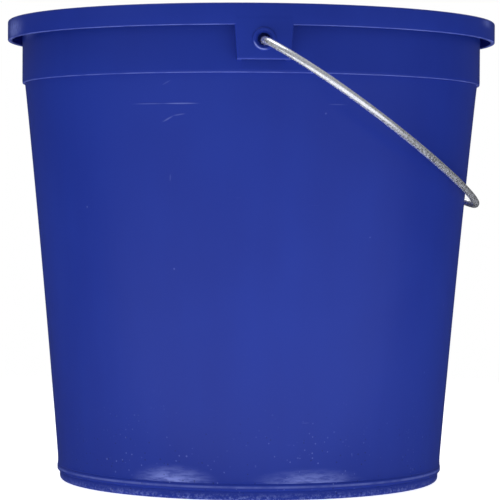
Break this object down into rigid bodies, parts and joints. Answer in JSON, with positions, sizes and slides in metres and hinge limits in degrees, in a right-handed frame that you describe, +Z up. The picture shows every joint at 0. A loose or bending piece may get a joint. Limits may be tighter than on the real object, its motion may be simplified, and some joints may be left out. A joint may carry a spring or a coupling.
{
  "type": "wash bucket",
  "caption": "Round tapered plastic bucket with a turned-down rim, moulded hollow ears and a swinging wire bail, for carrying and holding wash water.",
  "frame": {"origin": "centre of the foot ring's underside, on the surface that the bucket stands on", "axes": "+Z up along the bucket's axis; Y along the bail's pivot axis, through both ears; the bail hangs on the +X side at rest"},
  "size_m": [0.268, 0.3094, 0.251],
  "materials": {
    "blue_plastic": "moulded polyethylene, satin gloss, lightly scuffed",
    "steel_wire": "bright galvanised drawn wire"
  },
  "bodies": {
    "bucket": {"bucket": "blue_plastic"},
    "bail": {"bail": "steel_wire"}
  },
  "joints": [
    {"name": "bail_swing", "type": "hinge", "parent": "bucket", "child": "bail", "pos_m": [0, 0, 0.2323], "axis": [0, -1, 0], "range_deg": [-2.5, 247.8]}
  ]
}
